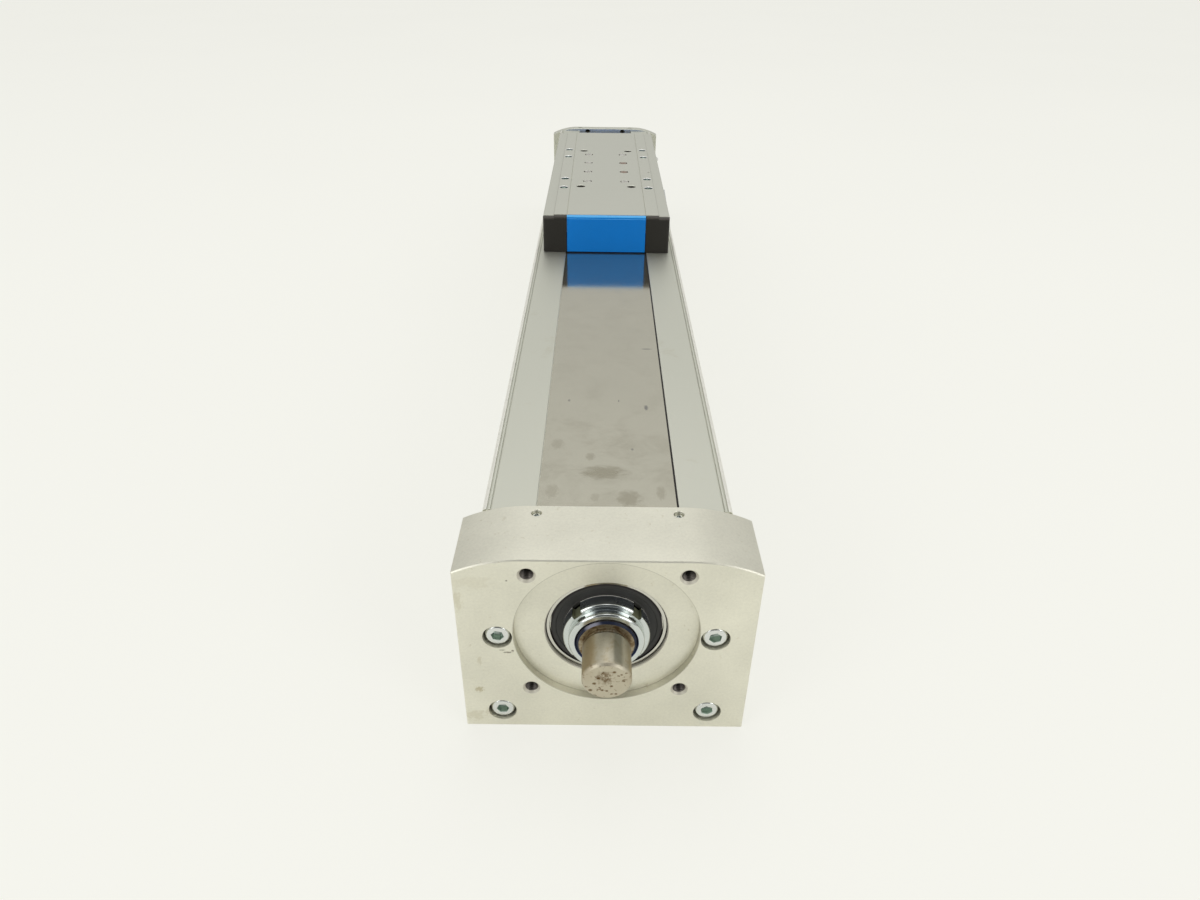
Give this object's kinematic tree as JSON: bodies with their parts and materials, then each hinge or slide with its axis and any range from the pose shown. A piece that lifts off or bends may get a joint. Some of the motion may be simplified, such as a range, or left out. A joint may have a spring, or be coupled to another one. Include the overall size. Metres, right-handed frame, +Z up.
{
  "type": "ball screw linear axis",
  "caption": "Ball screw linear axis: extruded housing with crowned end covers, bare drive shaft, and a drilled slide that runs over a steel cover band.",
  "frame": {"origin": "on the screw axis, in the outer face of the drive cover", "axes": "+X across, +Y along the axis from the drive end to the rear cover, +Z up through the slide plate"},
  "size_m": [0.15, 1.0051, 0.1485],
  "materials": {
    "anodised_housing": "matte clear anodised extrusion",
    "anodised_cover": "satin clear anodised, lightly stained",
    "anodised_slide": "satin clear anodised, milled",
    "plain_aluminium": "milled, uncoated",
    "zinc_steel": "zinc plated",
    "ground_steel": "ground and hardened",
    "bearing_steel": "polished",
    "rusted_shaft": "ground, pitted with rust at the drive end",
    "band_steel": "mirror-bright stainless strip with smudges",
    "black_rubber": "matte",
    "magnet_strip": "plastic-bonded magnet",
    "dark_plastic": "moulded, fine texture",
    "blue_plastic": "moulded, satin",
    "white_plastic": "acetal",
    "nipple_steel": "zinc plated"
  },
  "bodies": {
    "frame": {"housing_profile": "anodised_housing", "drive_cover": "anodised_cover", "rear_cover": "anodised_cover", "drive_cover_screws": "zinc_steel", "rear_cover_screws": "zinc_steel", "band_magnets": "magnet_strip", "drive_band_clamp": "plain_aluminium", "rear_band_clamp": "plain_aluminium", "drive_band_clamp_screws": "zinc_steel", "rear_band_clamp_screws": "zinc_steel", "drive_bearing_outer_rings": "bearing_steel", "drive_bearing_seals": "black_rubber", "rear_bearing_outer_ring": "bearing_steel", "bearing_ball_rings": "bearing_steel", "guide_rails": "ground_steel", "cover_band_front": "band_steel", "cover_band_rear": "band_steel", "drive_buffers": "black_rubber", "rear_buffers": "black_rubber"},
    "spindle": {"ball_screw": "rusted_shaft", "lock_nut": "zinc_steel", "drive_bearing_inner_rings": "bearing_steel", "rear_bearing_inner_ring": "bearing_steel", "rear_retaining_ring": "ground_steel"},
    "slide": {"ball_nut": "ground_steel", "nut_wipers": "white_plastic", "nut_screws": "zinc_steel", "guide_carriages": "ground_steel", "carriage_end_caps": "dark_plastic", "carrier": "plain_aluminium", "saddle": "anodised_slide", "saddle_screws": "zinc_steel", "slide_plate": "anodised_slide", "plate_screws": "zinc_steel", "cover_band_loop": "band_steel", "band_lift_pad": "white_plastic", "deflector_front": "blue_plastic", "deflector_rear": "blue_plastic", "end_cap_front_left": "dark_plastic", "end_cap_front_right": "dark_plastic", "end_cap_rear_left": "dark_plastic", "end_cap_rear_right": "dark_plastic", "band_wipers": "black_rubber", "switch_lug": "zinc_steel", "switch_lug_screws": "zinc_steel", "grease_nipple": "nipple_steel"}
  },
  "joints": [
    {"name": "slide_travel", "type": "slide", "parent": "frame", "child": "slide", "axis": [0, 1, 0], "range_m": [-0.388, 0.172], "deforming": ["cover_band_front", "cover_band_rear"]},
    {"name": "spindle_turn", "type": "hinge", "parent": "frame", "child": "spindle", "pos_m": [0, 0, 0], "axis": [0, 1, 0], "range_deg": [-1549, 3493]}
  ],
  "couplings": [
    {"joint": "spindle_turn", "follows": "slide_travel", "rad_per_m": -157.08}
  ]
}
